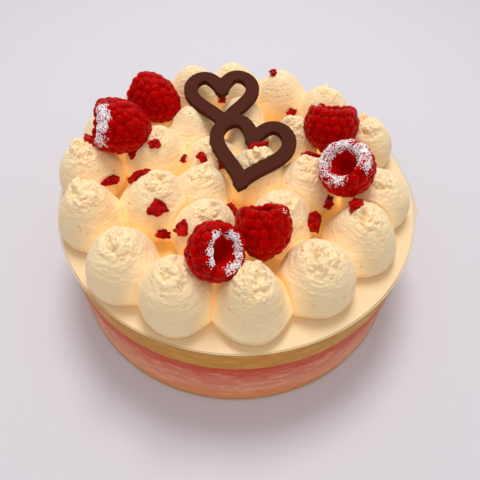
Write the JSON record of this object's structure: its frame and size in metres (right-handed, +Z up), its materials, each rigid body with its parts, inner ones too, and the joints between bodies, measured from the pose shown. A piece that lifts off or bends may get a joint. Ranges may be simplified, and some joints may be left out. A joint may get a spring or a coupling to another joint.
{
  "type": "raspberry cream cake",
  "caption": "Round layered mousse cake in a clear collar, topped with piped cream mounds, raspberries, berry flakes and open chocolate hearts.",
  "frame": {"origin": "centre of the flat underside", "axes": "+Z up through the middle of the cake; -Y faces the viewer of the picture"},
  "size_m": [0.1619, 0.1614, 0.0901],
  "materials": {
    "raspberry_mousse": "set raspberry mousse with red fruit streaks, satin",
    "raspberry_jelly": "set raspberry jelly, glossy",
    "vanilla_mousse": "set vanilla mousse with seed specks, satin",
    "clear_film": "clear acetate cake collar, glossy",
    "whipped_cream": "piped whipped cream, soft satin, torn and curdled at the tips",
    "raspberry": "fresh raspberry, moist and glossy, dusted with icing sugar",
    "chocolate": "dark chocolate sheet, matt top and clean cut edges"
  },
  "bodies": {
    "root": {"raspberry_mousse": "raspberry_mousse", "raspberry_jelly": "raspberry_jelly", "vanilla_mousse": "vanilla_mousse", "clear_collar": "clear_film", "raspberry_1": "raspberry", "raspberry_2": "raspberry", "raspberry_3": "raspberry", "raspberry_4": "raspberry", "raspberry_5": "raspberry", "raspberry_6": "raspberry", "chocolate_hearts": "chocolate", "cream_edge_01": "whipped_cream", "cream_edge_02": "whipped_cream", "cream_edge_03": "whipped_cream", "cream_edge_04": "whipped_cream", "cream_edge_05": "whipped_cream", "cream_edge_06": "whipped_cream", "cream_edge_07": "whipped_cream", "cream_edge_08": "whipped_cream", "cream_edge_09": "whipped_cream", "cream_edge_10": "whipped_cream", "cream_edge_11": "whipped_cream", "cream_edge_12": "whipped_cream", "cream_edge_13": "whipped_cream", "cream_edge_14": "whipped_cream", "cream_edge_15": "whipped_cream", "cream_inner_01": "whipped_cream", "cream_inner_02": "whipped_cream", "cream_inner_03": "whipped_cream", "cream_inner_04": "whipped_cream", "cream_inner_05": "whipped_cream", "cream_inner_06": "whipped_cream", "cream_inner_07": "whipped_cream", "cream_inner_08": "whipped_cream", "cream_inner_09": "whipped_cream", "cream_inner_10": "whipped_cream", "cream_inner_11": "whipped_cream", "cream_inner_12": "whipped_cream"}
  },
  "joints": []
}
